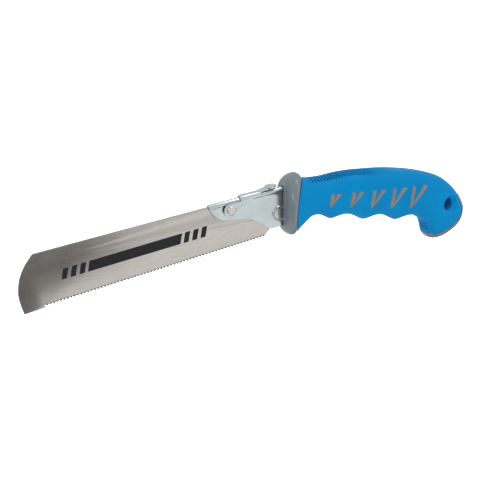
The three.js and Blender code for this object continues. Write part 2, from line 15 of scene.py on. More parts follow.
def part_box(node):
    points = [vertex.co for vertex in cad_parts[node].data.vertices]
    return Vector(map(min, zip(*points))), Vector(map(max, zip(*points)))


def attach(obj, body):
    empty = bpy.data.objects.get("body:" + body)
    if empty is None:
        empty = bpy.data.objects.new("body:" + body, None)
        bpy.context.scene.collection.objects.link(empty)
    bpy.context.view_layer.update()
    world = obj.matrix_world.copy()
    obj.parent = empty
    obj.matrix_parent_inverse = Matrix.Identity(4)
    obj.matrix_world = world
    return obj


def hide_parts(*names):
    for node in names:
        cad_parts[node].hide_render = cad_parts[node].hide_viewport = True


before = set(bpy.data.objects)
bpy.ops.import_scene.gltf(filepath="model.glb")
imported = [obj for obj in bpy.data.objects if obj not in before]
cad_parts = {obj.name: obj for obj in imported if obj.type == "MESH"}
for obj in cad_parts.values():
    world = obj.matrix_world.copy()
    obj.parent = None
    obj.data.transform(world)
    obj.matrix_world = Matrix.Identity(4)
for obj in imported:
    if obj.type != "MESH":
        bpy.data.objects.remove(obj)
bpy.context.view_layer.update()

# ---- sizes shared with the part, in millimetres ----
RIVET_X, RIVET_Z = -40.0, -3.7
BLADE_HALF = 0.4
BLADE_BACK_REAR_Z = 1.9
BLADE_BACK_BEND_X = -60.0
BLADE_REAR_X = -8.4
TOOTH_PITCH = 2.3
TOOTH_HEIGHT = 1.3
TOOTH_COUNT = 67
TEETH_FRONT = (-171.8, -35.6)
TEETH_REAR = (-17.8, -28.4)
HOLDER_HALF = 1.5
HOLDER_INNER = 0.5
SPINE_TOP_Z = 3.1
BEAD_RADIUS = 2.0
WASHER_RADIUS = 3.3
LEVER_INNER_Y = 2.15
LEVER_OUTER_Y = 3.05
WEB_BOTTOM_Z = 3.25
WEB_TOP_Z = 4.15
WEB_FRONT_X = -32.5
WEB_REAR_X = -18.0
TAB_X = -9.8
TAB_RADIUS = 4.2
TAB_RISE = 1.5
TAB_NECK_HALF = 2.5
STOP_PIN_X, STOP_PIN_Z = -6.0, -14.6
GROOVE_PITCH = 23.5
GROOVE_DEPTH = 3.4
GROOVE_CREST_X = 28.9
GRIP_DROOP = math.radians(15.0)
HANG_HOLE_X, HANG_HOLE_Z = 116.2, -36.9
HANG_HOLE_HALVES = (3.6, 4.4)
HANG_HOLE_LEAN = math.radians(15.0)
TRIM_END_DEPTH, TRIM_SWELL = 2.6, 1.5
TRIM_FIRST_STATION = 13.0
PRINT_HALF_HEIGHT = 3.5
SLOT_RADIUS = 2.3
SHANK_RADIUS = 2.0
RIVET_HOLE_RADIUS = 2.05

# Cutters reach this far to each side: past the steel parts, and past the grip.
PAST_STEEL = 6.0
PAST_GRIP = 20.0
INLAY_SIDES = (("near", -PAST_GRIP, -3.0), ("far", 3.0, PAST_GRIP))

MM = 0.001
rivet_low, rivet_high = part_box("pivot_rivet")
SHIFT = (rivet_low + rivet_high) / 2 - Vector((RIVET_X, 0, RIVET_Z)) * MM
TO_FRAME = Matrix.Translation(SHIFT) @ Matrix.Scale(MM, 4)


# ---- mesh helpers ----

def new_object(name, points, faces):
    mesh = bpy.data.meshes.new(name)
    mesh.from_pydata([tuple(map(float, p)) for p in points], [], faces)
    shell = bmesh.new()
    shell.from_mesh(mesh)
    bmesh.ops.recalc_face_normals(shell, faces=shell.faces)
    shell.to_mesh(mesh)
    shell.free()
    made = bpy.data.objects.new(name, mesh)
    bpy.context.scene.collection.objects.link(made)
    return made


def settle(obj):
    """Applies the object's modifiers."""
    graph = bpy.context.evaluated_depsgraph_get()
    mesh = bpy.data.meshes.new_from_object(obj.evaluated_get(graph))
    obj.modifiers.clear()
    obj.data = mesh


def combine(obj, other, operation):
    modifier = obj.modifiers.new(operation, "BOOLEAN")
    modifier.operation = operation
    modifier.solver = "EXACT"
    modifier.object = other
    settle(obj)
    bpy.data.objects.remove(other)


def bevel(obj, width, segments=2, angle=35):
    modifier = obj.modifiers.new("bevel", "BEVEL")
    modifier.width = width
    modifier.segments = segments
    modifier.limit_method = "ANGLE"
    modifier.angle_limit = math.radians(angle)
    modifier.use_clamp_overlap = True
    settle(obj)


def prism(name, start, end):
    """Two matching outlines of 3-D points, capped and joined by side faces."""
    n = len(start)
    faces = [tuple(range(n)), tuple(range(2 * n - 1, n - 1, -1))]
    faces += [(i, n + i, n + (i + 1) % n, (i + 1) % n) for i in range(n)]
    return new_object(name, start + end, faces)


def slab(name, outline, y0, y1):
    """A side outline [(x, z), ...] with thickness from y0 to y1."""
    return prism(name, [(x, y0, z) for x, z in outline], [(x, y1, z) for x, z in outline])


def bar(name, section, x0, x1):
    """A cross-section [(y, z), ...] carried along X."""
    return prism(name, [(x0, y, z) for y, z in section], [(x1, y, z) for y, z in section])


def turned(name, profile, x, z, segments=96):
    """A profile [(radius, y), ...] turned about an axis along Y, ending on the axis or closed."""
    points, faces, rings = [], [], []
    for radius, y in profile:
        if radius < 1e-6:
            rings.append([len(points)])
            points.append((x, y, z))
            continue
        rings.append(list(range(len(points), len(points) + segments)))
        for k in range(segments):
            a = 2 * math.pi * k / segments
            points.append((x + radius * math.cos(a), y, z + radius * math.sin(a)))
    pairs = list(zip(rings, rings[1:]))
    if len(rings[0]) > 1:
        pairs.append((rings[-1], rings[0]))
    for a, b in pairs:
        for k in range(segments):
            m = (k + 1) % segments
            if len(a) == 1 and len(b) > 1:
                faces.append((a[0], b[k], b[m]))
            elif len(b) == 1 and len(a) > 1:
                faces.append((a[k], b[0], a[m]))
            elif len(a) > 1 and len(b) > 1:
                faces.append((a[k], b[k], b[m], a[m]))
    return new_object(name, points, faces)


def arc(x, z, radius, start, end, steps):
    angles = np.radians(np.linspace(start, end, steps + 1))
    return [(x + radius * math.cos(a), z + radius * math.sin(a)) for a in angles]


def spline(points, params):
    """Centripetal Catmull-Rom through the points, at params from 0 to 1, spaced evenly by point."""
    p = np.asarray(points, float)
    p = np.vstack([2 * p[0] - p[1], p, 2 * p[-1] - p[-2]])
    spans = len(p) - 3
    out = []
    for t in params:
        at = min(max(t, 0.0), 1.0) * spans
        i = min(int(at), spans - 1)
        w = at - i
        p0, p1, p2, p3 = p[i : i + 4]
        d0, d1, d2 = (max(np.linalg.norm(b - a) ** 0.5, 1e-4) for a, b in ((p0, p1), (p1, p2), (p2, p3)))
        m1 = ((p1 - p0) / d0 - (p2 - p0) / (d0 + d1) + (p2 - p1) / d1) * d1
        m2 = ((p2 - p1) / d1 - (p3 - p1) / (d1 + d2) + (p3 - p2) / d2) * d1
        a = 2 * (p1 - p2) + m1 + m2
        b = -3 * (p1 - p2) - 2 * m1 - m2
        out.append(p1 + m1 * w + b * w**2 + a * w**3)
    return np.array(out)


def smoothstep(x, low, high):
    t = np.clip((np.asarray(x, float) - low) / (high - low), 0, 1)
    return t * t * (3 - 2 * t)


def piece(obj, body, slot, material, *nodes, angle=35):
    """Moves a finished piece into the frame, shades it, parents it to its body and hides the CAD nodes it
    replaces.
    """
    obj.name = obj.name.replace(" ", "_")
    obj.data.transform(TO_FRAME)
    obj.data.materials.clear()
    obj.data.materials.append(material)
    obj.data.shade_smooth()
    obj.data.set_sharp_from_angle(angle=math.radians(angle))
    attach(obj, body)
    if nodes:
        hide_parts(*nodes)


# ---- material helpers ----

class Finish:
    """A Principled material with small helpers for its procedural detail. Lengths are in millimetres."""

    def __init__(self, name, color, roughness, metallic=0.0):
        self.material = bpy.data.materials.new(name)
        self.material.use_nodes = True
        self.nodes = self.material.node_tree.nodes
        self.links = self.material.node_tree.links
        self.shader = self.nodes["Principled BSDF"]
        self.shader.inputs["Base Color"].default_value = (*color, 1)
        self.shader.inputs["Roughness"].default_value = roughness
        self.shader.inputs["Metallic"].default_value = metallic
        self.coordinates = self.nodes.new("ShaderNodeTexCoord").outputs["Object"]
        self.normal = None

    def at(self, per_x, per_y, per_z):
        """Object coordinates scaled so that one unit is the given length in millimetres along each axis."""
        node = self.nodes.new("ShaderNodeMapping")
        node.inputs["Scale"].default_value = (1 / (per_x * MM), 1 / (per_y * MM), 1 / (per_z * MM))
        self.links.new(self.coordinates, node.inputs["Vector"])
        return node.outputs["Vector"]

    def noise(self, vector, detail=3.0, rough=0.5):
        node = self.nodes.new("ShaderNodeTexNoise")
        node.inputs["Scale"].default_value = 1.0
        node.inputs["Detail"].default_value = detail
        node.inputs["Roughness"].default_value = rough
        self.links.new(vector, node.inputs["Vector"])
        return node.outputs["Fac"]

    def ramp(self, value, low, high, a, b):
        node = self.nodes.new("ShaderNodeMapRange")
        node.inputs["From Min"].default_value = low
        node.inputs["From Max"].default_value = high
        node.inputs["To Min"].default_value = a
        node.inputs["To Max"].default_value = b
        self.links.new(value, node.inputs["Value"])
        return node.outputs["Result"]

    def tint(self, value, low, high, dark, light):
        """Base colour from dark to light as value goes from low to high."""
        node = self.nodes.new("ShaderNodeValToRGB")
        node.color_ramp.elements[0].position = low
        node.color_ramp.elements[0].color = (*dark, 1)
        node.color_ramp.elements[1].position = high
        node.color_ramp.elements[1].color = (*light, 1)
        self.links.new(value, node.inputs["Fac"])
        self.links.new(node.outputs["Color"], self.shader.inputs["Base Color"])

    def roughness(self, value, low, high, a, b):
        self.links.new(self.ramp(value, low, high, a, b), self.shader.inputs["Roughness"])

    def bump(self, value, depth_mm):
        node = self.nodes.new("ShaderNodeBump")
        node.inputs["Strength"].default_value = 1.0
        node.inputs["Distance"].default_value = depth_mm * MM
        self.links.new(value, node.inputs["Height"])
        if self.normal is not None:
            self.links.new(self.normal, node.inputs["Normal"])
        self.normal = node.outputs["Normal"]
        self.links.new(self.normal, self.shader.inputs["Normal"])

    def set(self, **sockets):
        for name, value in sockets.items():
            self.shader.inputs[name.replace("_", " ")].default_value = value


def brushed_blade():
    f = Finish("brushed blade steel", (0.52, 0.49, 0.46), 0.3, 1.0)
    streaks = f.noise(f.at(8, 2, 0.24), 5, 0.65)
    patches = f.noise(f.at(38, 10, 16), 2)
    f.tint(streaks, 0.32, 0.7, (0.42, 0.395, 0.365), (0.57, 0.545, 0.51))
    f.roughness(patches, 0.3, 0.7, 0.24, 0.34)
    f.bump(streaks, 0.008)
    return f.material


def ground_teeth():
    f = Finish("ground tooth steel", (0.3, 0.28, 0.27), 0.3, 1.0)
    lines = f.noise(f.at(0.25, 0.25, 2.0), 3)
    f.tint(lines, 0.3, 0.7, (0.1, 0.095, 0.09), (0.24, 0.23, 0.22))
    f.bump(lines, 0.01)
    return f.material


def zinc_plate(name, color, low=0.16, high=0.3):
    f = Finish(name, color, 0.24, 1.0)
    patches = f.noise(f.at(9, 9, 9), 3)
    grain = f.noise(f.at(0.5, 0.5, 0.5), 4, 0.6)
    dark = tuple(0.9 * c for c in color)
    light = tuple(min(1.0, 1.05 * c) for c in color)
    f.tint(patches, 0.3, 0.7, dark, light)
    f.roughness(grain, 0.3, 0.7, low, high)
    f.bump(grain, 0.004)
    f.bump(patches, 0.02)
    return f.material


def spun_steel(x, z):
    """Rivet steel with fine turning rings about an axis along Y through (x, z)."""
    f = Finish("spun rivet steel", (0.5, 0.45, 0.43), 0.36, 1.0)
    rings = f.nodes.new("ShaderNodeTexWave")
    rings.wave_type = "RINGS"
    rings.rings_direction = "Y"
    rings.inputs["Scale"].default_value = 1.1
    rings.inputs["Distortion"].default_value = 0.6
    mapping = f.nodes.new("ShaderNodeMapping")
    centre = SHIFT + Vector((x, 0, z)) * MM
    mapping.inputs["Location"].default_value = tuple(-c / MM for c in centre)
    mapping.inputs["Scale"].default_value = (1 / MM, 1 / MM, 1 / MM)
    f.links.new(f.coordinates, mapping.inputs["Vector"])
    f.links.new(mapping.outputs["Vector"], rings.inputs["Vector"])
    scratches = f.noise(f.at(0.6, 0.6, 0.6), 4, 0.6)
    f.tint(scratches, 0.3, 0.7, (0.5, 0.45, 0.42), (0.76, 0.7, 0.66))
    f.bump(rings.outputs["Fac"], 0.02)
    f.bump(scratches, 0.01)
    return f.material


def soft_blue():
    f = Finish("soft blue overmould", (0.0, 0.2, 0.46), 0.5)
    grain = f.noise(f.at(0.35, 0.35, 0.35), 4, 0.6)
    patches = f.noise(f.at(24, 24, 24), 2)
    f.tint(patches, 0.3, 0.7, (0.0, 0.185, 0.435), (0.0, 0.215, 0.49))
    f.roughness(grain, 0.3, 0.7, 0.42, 0.56)
    f.bump(grain, 0.02)
    f.set(Specular_IOR_Level=0.06)
    return f.material


def moulded_grey(name, color, low, high):
    f = Finish(name, color, (low + high) / 2)
    grain = f.noise(f.at(0.3, 0.3, 0.3), 4, 0.6)
    patches = f.noise(f.at(12, 12, 12), 2)
    f.tint(patches, 0.3, 0.7, tuple(0.93 * c for c in color), tuple(1.07 * c for c in color))
    f.roughness(grain, 0.3, 0.7, low, high)
    f.bump(grain, 0.018)
    return f.material


def printed_ink():
    f = Finish("printed ink", (0.012, 0.013, 0.015), 0.45)
    specks = f.noise(f.at(0.25, 0.25, 0.25), 3)
    f.tint(specks, 0.35, 0.75, (0.01, 0.011, 0.013), (0.03, 0.03, 0.032))
    f.roughness(specks, 0.3, 0.7, 0.38, 0.55)
    f.set(Specular_IOR_Level=0.1)
    return f.material


BLADE_STEEL = brushed_blade()
TOOTH_STEEL = ground_teeth()
ZINC = zinc_plate("zinc plated steel", (0.5, 0.555, 0.56))
# The lever uses the holder's zinc tinted a little bluer and lighter: a painted reflection of the pale sky
# on the lever's top.
ZINC_WITH_PAINTED_SKY_REFLECTION = zinc_plate("zinc plated lever", (0.5, 0.56, 0.59), 0.18, 0.32)
RIVET = spun_steel(RIVET_X, RIVET_Z)
BLUE = soft_blue()
GUARD_GREY = moulded_grey("moulded guard grey", (0.14, 0.175, 0.2), 0.24, 0.34)
TRIM_GREY = moulded_grey("moulded trim grey", (0.16, 0.175, 0.19), 0.36, 0.5)
CHEVRON_GREY = moulded_grey("moulded chevron grey", (0.165, 0.165, 0.165), 0.5, 0.65)
CORE_GREY = moulded_grey("moulded core grey", (0.07, 0.078, 0.088), 0.45, 0.6)
INK = printed_ink()


# ---- blade ----

def gullet_z(x):
    (x0, z0), (x1, z1) = TEETH_FRONT, TEETH_REAR
    return z0 + (z1 - z0) * (x - x0) / (x1 - x0) + TOOTH_HEIGHT


def build_blade():
    nose = spline(
        [(-174.3, 0.8), (-180.8, -6.0), (-185.3, -13.5), (-187.8, -23.0), (-187.5, -30.4), (-186.3, -37.2)],
        np.linspace(0, 1, 48),
    )
    outline = [tuple(p) for p in nose]
    outline += [(-172.3, -36.3), (TEETH_FRONT[0], gullet_z(TEETH_FRONT[0]))]
    outline += [(TEETH_REAR[0], gullet_z(TEETH_REAR[0]))]
    outline += [(-14.1, -24.4), (-11.0, -20.5), (BLADE_REAR_X, -19.5)]
    outline += [(BLADE_REAR_X, STOP_PIN_Z - SLOT_RADIUS)]
    outline += arc(STOP_PIN_X, STOP_PIN_Z, SLOT_RADIUS, 240, 120, 16)
    outline += [(BLADE_REAR_X, STOP_PIN_Z + SLOT_RADIUS), (BLADE_REAR_X, RIVET_Z - SLOT_RADIUS)]
    outline += arc(RIVET_X, RIVET_Z, SLOT_RADIUS, 270, 90, 24)
    outline += [(BLADE_REAR_X, RIVET_Z + SLOT_RADIUS), (BLADE_REAR_X, BLADE_BACK_REAR_Z)]
    outline += [(BLADE_BACK_BEND_X, BLADE_BACK_REAR_Z)]
    blade = slab("blade plate", outline, -BLADE_HALF, BLADE_HALF)
    bevel(blade, 0.09, 2, 25)
    piece(blade, "blade_body", "blade_steel", BLADE_STEEL, "blade", angle=25)


def build_teeth():
    """Fine teeth with alternate set: small wedges that lean to one side and then the other."""
    points, faces = [], []
    lean, half_point = 0.16, 0.1
    root = 0.25
    for i in range(TOOTH_COUNT):
        x0 = TEETH_FRONT[0] + i * TOOTH_PITCH
        x1 = x0 + TOOTH_PITCH * 0.94
        middle = x0 + TOOTH_PITCH * 0.5
        side = 1 if i % 2 else -1
        first = len(points)
        for y in (-BLADE_HALF, BLADE_HALF):
            points.append((x0, y, gullet_z(x0) + root))
            points.append((x0, y, gullet_z(x0)))
            points.append((x1, y, gullet_z(x1)))
            points.append((x1, y, gullet_z(x1) + root))
        tip_z = gullet_z(middle) - TOOTH_HEIGHT
        points.append((middle, side * lean - half_point, tip_z))
        points.append((middle, side * lean + half_point, tip_z))
        a, b, tip_a, tip_b = first, first + 4, first + 8, first + 9
        faces += [(a, a + 1, tip_a, a + 2, a + 3), (b + 3, b + 2, tip_b, b + 1, b)]
        faces += [(a + 1, b + 1, tip_b, tip_a), (a + 2, tip_a, tip_b, b + 2)]
        faces += [(a, b, b + 1, a + 1), (a + 3, a + 2, b + 2, b + 3), (a, a + 3, b + 3, b)]
    teeth = new_object("blade teeth", points, faces)
    piece(teeth, "blade_body", "blade_steel", TOOTH_STEEL, angle=20)


def build_print():
    """A plain printed band with slanted blocks at both ends, on both sides of the blade."""
    slant = 0.32
    ink_thickness = 0.015
    middle_x, middle_z, climb = -106.0, -15.6, 0.033
    h = PRINT_HALF_HEIGHT
    blocks = [(-140.0, -76.0)]
    blocks += [(-145.7 - 6.0 * i, -142.1 - 6.0 * i) for i in range(3)]
    blocks += [(-73.9 + 6.0 * i, -70.3 + 6.0 * i) for i in range(3)]
    points, faces = [], []
    for x0, x1 in blocks:
        for y in (-BLADE_HALF - ink_thickness, BLADE_HALF + ink_thickness):
            first = len(points)
            for x, v in ((x0, -h), (x1, -h), (x1, h), (x0, h)):
                points.append((x + slant * v, y, middle_z + climb * (x - middle_x) + v))
            faces.append((first, first + 1, first + 2, first + 3))
    band = new_object("blade print", points, faces)
    piece(band, "blade_body", "blade_steel", INK)


# ---- holder, lever, rivet and pins ----

def holder_outline():
    lower = spline(
        [(-55.2, 3.1), (-53.4, -2.4), (-50.1, -6.6), (-46.0, -9.4), (-40.8, -10.6), (-36.3, -11.0),
         (-30.1, -12.3), (-24.9, -14.7), (-19.8, -18.2), (-13.6, -23.8)],
        np.linspace(0, 1, 90),
    )
    tang = [(4.0, -23.2), (10.0, -18.0), (55.0, -21.5), (58.0, -18.5), (58.0, -15.0), (55.0, -12.0),
            (12.0, -3.0), (6.5, -3.0), (4.5, -1.0), (4.5, SPINE_TOP_Z)]
    return [tuple(p) for p in lower] + tang


def folded(half, inner, top, bottom, corner, inner_corner, steps=12):
    """Section of a sheet folded over the top, with rounded corners."""
    section = [(half, bottom)]
    section += arc(half - corner, top - corner, corner, 0, 90, steps)
    section += arc(corner - half, top - corner, corner, 90, 180, steps)
    section += [(-half, bottom), (-inner, bottom)]
    crown = top - (half - inner)
    section += arc(inner_corner - inner, crown - inner_corner, inner_corner, 180, 90, steps)
    section += arc(inner - inner_corner, crown - inner_corner, inner_corner, 90, 0, steps)
    section += [(inner, bottom)]
    clean = [section[0]]
    for p in section[1:]:
        if math.dist(p, clean[-1]) > 1e-4:
            clean.append(p)
    return clean


def beaded(bottom, steps=28):
    """Section of the holder: two sides that meet in a round bead at the top."""
    middle = SPINE_TOP_Z - BEAD_RADIUS
    bore = BEAD_RADIUS - (HOLDER_HALF - HOLDER_INNER)
    outer = math.degrees(math.acos(HOLDER_HALF / BEAD_RADIUS))
    inner = math.degrees(math.acos(HOLDER_INNER / bore))
    section = [(HOLDER_HALF, bottom)] + arc(0, middle, BEAD_RADIUS, -outer, 180 + outer, steps)
    section += [(-HOLDER_HALF, bottom), (-HOLDER_INNER, bottom)]
    return section + arc(0, middle, bore, 180 + inner, -inner, steps) + [(HOLDER_INNER, bottom)]


def drill(radius, x, z):
    profile = [(0, -PAST_STEEL), (radius, -PAST_STEEL), (radius, PAST_STEEL), (0, PAST_STEEL)]
    return turned("drill", profile, x, z, 48)


def build_holder():
    holder = slab("blade holder", holder_outline(), -5, 5)
    fold = bar("fold", beaded(-40), -60, 65)
    combine(holder, fold, "INTERSECT")
    for x, z in ((RIVET_X, RIVET_Z), (STOP_PIN_X, STOP_PIN_Z)):
        combine(holder, drill(RIVET_HOLE_RADIUS, x, z), "DIFFERENCE")
    bevel(holder, 0.14, 3, 40)
    piece(holder, "handle_body", "zinc_steel", ZINC, "blade_holder", angle=40)


def build_lever():
    eye_radius = 5.0
    arm = [(-37.4, -8.0), (-31.2, -4.7), (-24.1, 0.3), (-21.4, 1.5), (WEB_REAR_X, 1.9)]
    shoulder = [(-33.2, 0.8), (-35.4, 0.9), (-38.2, 1.0)]
    outline = arc(RIVET_X, RIVET_Z, eye_radius, 112, 300, 48)
    outline += [tuple(p) for p in spline(arm, np.linspace(0.1, 1, 24))]
    outline += [(WEB_REAR_X, WEB_TOP_Z + 1), (WEB_FRONT_X, WEB_TOP_Z + 1), (WEB_FRONT_X, 1.0)]
    outline += [tuple(p) for p in spline(shoulder, np.linspace(0, 1, 8))]
    lever = slab("latch lever", outline, -PAST_STEEL, PAST_STEEL)
    fold = bar("fold", folded(LEVER_OUTER_Y, LEVER_INNER_Y, WEB_TOP_Z, -14, 1.4, 0.4), -60, 0)
    combine(lever, fold, "INTERSECT")
    t = np.linspace(0, 1, 37)
    start = WEB_REAR_X - 0.8
    xs = start + t * (TAB_X + TAB_RADIUS - start)
    lift = TAB_RISE * smoothstep(t, 0, 0.7)
    side = list(zip(xs, WEB_BOTTOM_Z + lift)) + list(zip(xs, WEB_TOP_Z + lift))[::-1]
    tab = slab("thumb tab", side, -PAST_STEEL, PAST_STEEL)
    neck = 180 - math.degrees(math.asin(TAB_NECK_HALF / TAB_RADIUS))
    plan = [(WEB_REAR_X - 2, -TAB_NECK_HALF)]
    plan += arc(TAB_X, 0, TAB_RADIUS, -neck, neck, 48)
    plan += [(WEB_REAR_X - 2, TAB_NECK_HALF)]
    plan_cutter = prism("plan", [(x, y, 0.0) for x, y in plan], [(x, y, 12.0) for x, y in plan])
    combine(tab, plan_cutter, "INTERSECT")
    combine(lever, tab, "UNION")
    combine(lever, drill(RIVET_HOLE_RADIUS + 0.03, RIVET_X, RIVET_Z), "DIFFERENCE")
    bevel(lever, 0.16, 3, 40)
    piece(lever, "lever_body", "zinc_steel", ZINC_WITH_PAINTED_SKY_REFLECTION, "latch_lever", angle=40)


def headed(head, seat):
    """Profile of a shank with the same head [(radius, height), ...] on both sides, standing on y = seat."""
    near = [(r, -seat - height) for r, height in head] + [(SHANK_RADIUS, -seat)]
    return near + [(r, -y) for r, y in reversed(near)]


def build_rivet():
    inner = LEVER_OUTER_Y + 0.05
    head = [(0, 1.05), (1.2, 1.12), (2.1, 1.15), (2.7, 0.98), (3.08, 0.62), (3.2, 0.25), (3.2, 0)]
    rivet = turned("pivot rivet", headed(head, inner), RIVET_X, RIVET_Z)
    piece(rivet, "handle_body", "rivet_steel", RIVET, "pivot_rivet", angle=50)


def build_washers():
    thickness, bore, edge, rim = 0.6, 2.1, 0.1, WASHER_RADIUS
    for side, node in ((-1, "washer_near"), (1, "washer_far")):
        y0, y1 = sorted((side * HOLDER_HALF, side * (HOLDER_HALF + thickness)))
        first_face = [(bore, y0), (rim - edge, y0), (rim, y0 + edge)]
        profile = first_face + [(rim, y1 - edge), (rim - edge, y1), (bore, y1)]
        ring = turned(node.replace("_", " ") + " ring", profile, RIVET_X, RIVET_Z)
        piece(ring, "handle_body", "zinc_steel", ZINC, node, angle=50)


def build_stop_pin():
    """A pressed boss: raised round rim and a slightly sunk face on both sides of the holder."""
    boss = [(0, 0.45), (4.1, 0.45), (4.3, 0.62), (4.7, 0.78), (5.1, 0.72), (5.35, 0.45), (5.4, 0)]
    pin = turned("blade stop pin boss", headed(boss, HOLDER_HALF), STOP_PIN_X, STOP_PIN_Z, 128)
    piece(pin, "handle_body", "zinc_steel", ZINC, "blade_stop_pin", angle=20)


# ---- grip and guard: sections that run from a point on the top line to a point on the bottom line ----

# (top x, top z, bottom x, bottom z, half width, squareness, bow): squareness 2 is an ellipse and more is
# boxier; bow is how far the section's sides run ahead of its middle.
GRIP_STATIONS = [
    (12.0, 6.2, 4.4, -29.6, 13.0, 2.3, 5.0),
    (15.0, 5.1, 8.0, -27.0, 12.6, 2.3, 4.4),
    (19.5, 4.0, 12.5, -25.4, 12.3, 2.35, 3.2),
    (27.0, 3.0, 20.0, -25.0, 12.2, 2.4, 1.6),
    (40.0, 2.7, 32.3, -27.8, 12.8, 2.5, 0.4),
    (52.0, 1.4, 44.5, -31.1, 13.4, 2.6, 0.0),
    (65.0, -0.8, 57.0, -34.4, 13.8, 2.7, 0.0),
    (78.0, -3.6, 69.0, -37.5, 13.8, 2.8, 0.0),
    (91.0, -7.4, 81.0, -40.7, 13.4, 2.9, 0.0),
    (101.3, -11.2, 89.0, -42.7, 13.0, 3.0, 0.0),
    (108.6, -14.5, 94.8, -43.6, 12.6, 3.1, 0.0),
    (114.9, -18.1, 98.2, -46.3, 12.2, 3.2, 0.0),
    (121.6, -24.9, 99.4, -50.8, 11.8, 3.2, 0.0),
    (126.9, -33.2, 99.7, -55.4, 11.2, 3.2, 0.0),
    (130.0, -42.4, 101.1, -58.7, 10.4, 3.0, 0.0),
    (127.6, -50.4, 104.2, -60.1, 9.2, 2.8, 0.0),
    (120.6, -55.8, 107.8, -60.0, 7.0, 2.6, 0.0),
    (115.8, -58.2, 110.6, -59.6, 4.5, 2.4, 0.0),
]
GUARD_STATIONS = [
    (-0.8, 4.0, -5.2, -24.4, 6.6, 2.3, 0.4),
    (-0.2, 6.6, -5.0, -26.6, 9.4, 2.3, 0.8),
    (2.6, 8.9, -3.4, -29.2, 11.9, 2.3, 2.0),
    (6.4, 10.1, -0.9, -31.0, 13.5, 2.3, 3.4),
    (9.6, 10.1, 1.4, -31.3, 14.0, 2.3, 4.6),
    (11.8, 8.4, 3.6, -29.8, 13.5, 2.3, 5.0),
]


def finger_groove(x):
    fade = smoothstep(x, 6, 15) * (1 - smoothstep(x, 90, 97))
    wave = np.abs(np.sin(np.pi * (x - GROOVE_CREST_X) / GROOVE_PITCH)) ** 1.25
    return GROOVE_DEPTH * wave * fade


def section_grid(stations, params, around, groove=None):
    """Points (rings, around, 3) of the lofted surface, and the angle of each column, 0 at the top."""
    top = spline([(s[0], s[1], s[4]) for s in stations], params)
    bottom = spline([(s[2], s[3], s[4]) for s in stations], params)
    form = spline([(s[5], s[6], i) for i, s in enumerate(stations)], params)
    power, bow = form[:, 0:1], form[:, 1:2]
    up = top[:, :2] - bottom[:, :2]
    up /= np.linalg.norm(up, axis=1, keepdims=True)
    low = bottom[:, :2].copy()
    if groove is not None:
        low += up * groove(low[:, 0])[:, None]
    middle = (top[:, :2] + low) / 2
    reach = np.linalg.norm(top[:, :2] - low, axis=1) / 2
    angle = 2 * np.pi * np.arange(around) / around
    c, s = np.cos(angle), np.sin(angle)
    along = np.sign(c) * np.abs(c) ** (2 / power)
    across = np.sign(s) * np.abs(s) ** (2 / power)
    grid = np.zeros((len(params), around, 3))
    grid[:, :, 0] = middle[:, None, 0] + up[:, None, 0] * reach[:, None] * along - bow * across**2
    grid[:, :, 1] = top[:, None, 2] * across
    grid[:, :, 2] = middle[:, None, 1] + up[:, None, 1] * reach[:, None] * along
    return grid, angle


def grid_normals(grid):
    along = np.gradient(grid, axis=0)
    around = np.roll(grid, -1, axis=1) - np.roll(grid, 1, axis=1)
    normal = np.cross(along, around)
    normal /= np.maximum(np.linalg.norm(normal, axis=2, keepdims=True), 1e-9)
    centre = grid.mean(axis=1, keepdims=True)
    flip = np.sign(((grid - centre) * normal).sum(axis=2).mean())
    return normal * flip


def grid_object(name, grid):
    rings, around = grid.shape[:2]
    points = [tuple(p) for p in grid.reshape(-1, 3)]
    hub0, hub1 = len(points), len(points) + 1
    points += [tuple(grid[0].mean(axis=0)), tuple(grid[-1].mean(axis=0))]
    faces = []
    for k in range(rings - 1):
        for j in range(around):
            a, b = k * around + j, k * around + (j + 1) % around
            faces.append((a, b, b + around, a + around))
    last = (rings - 1) * around
    for j in range(around):
        m = (j + 1) % around
        faces += [(hub0, m, j), (hub1, last + j, last + m)]
    return new_object(name, points, faces)


def hang_axes(x, z):
    """Place across and along the leaning oval of the hang hole, in units of its half axes."""
    c, s = math.cos(HANG_HOLE_LEAN), math.sin(HANG_HOLE_LEAN)
    dx, dz = x - HANG_HOLE_X, z - HANG_HOLE_Z
    return (dx * c - dz * s) / HANG_HOLE_HALVES[0], (dx * s + dz * c) / HANG_HOLE_HALVES[1]


def hang_oval(steps=96):
    """Outline of the leaning hang hole."""
    c, s = math.cos(HANG_HOLE_LEAN), math.sin(HANG_HOLE_LEAN)
    oval = []
    for k in range(steps):
        a = HANG_HOLE_HALVES[0] * math.cos(2 * math.pi * k / steps)
        b = HANG_HOLE_HALVES[1] * math.sin(2 * math.pi * k / steps)
        oval.append((HANG_HOLE_X + a * c + b * s, HANG_HOLE_Z - a * s + b * c))
    return oval


def between(x, rise, fall):
    """1 between the two ramps (start, end), 0 outside them."""
    return smoothstep(x, *rise) * (1 - smoothstep(x, *fall))


def within(y, reach, fade):
    """1 up to the reach on both sides of the middle, 0 past the fade."""
    return 1 - smoothstep(np.abs(y), reach, reach + fade)


def ribs(place, pitch, power):
    """1 on the line of each rib's groove, and narrower grooves for a higher power."""
    return (0.5 + 0.5 * np.cos(2 * np.pi * place / pitch)) ** power


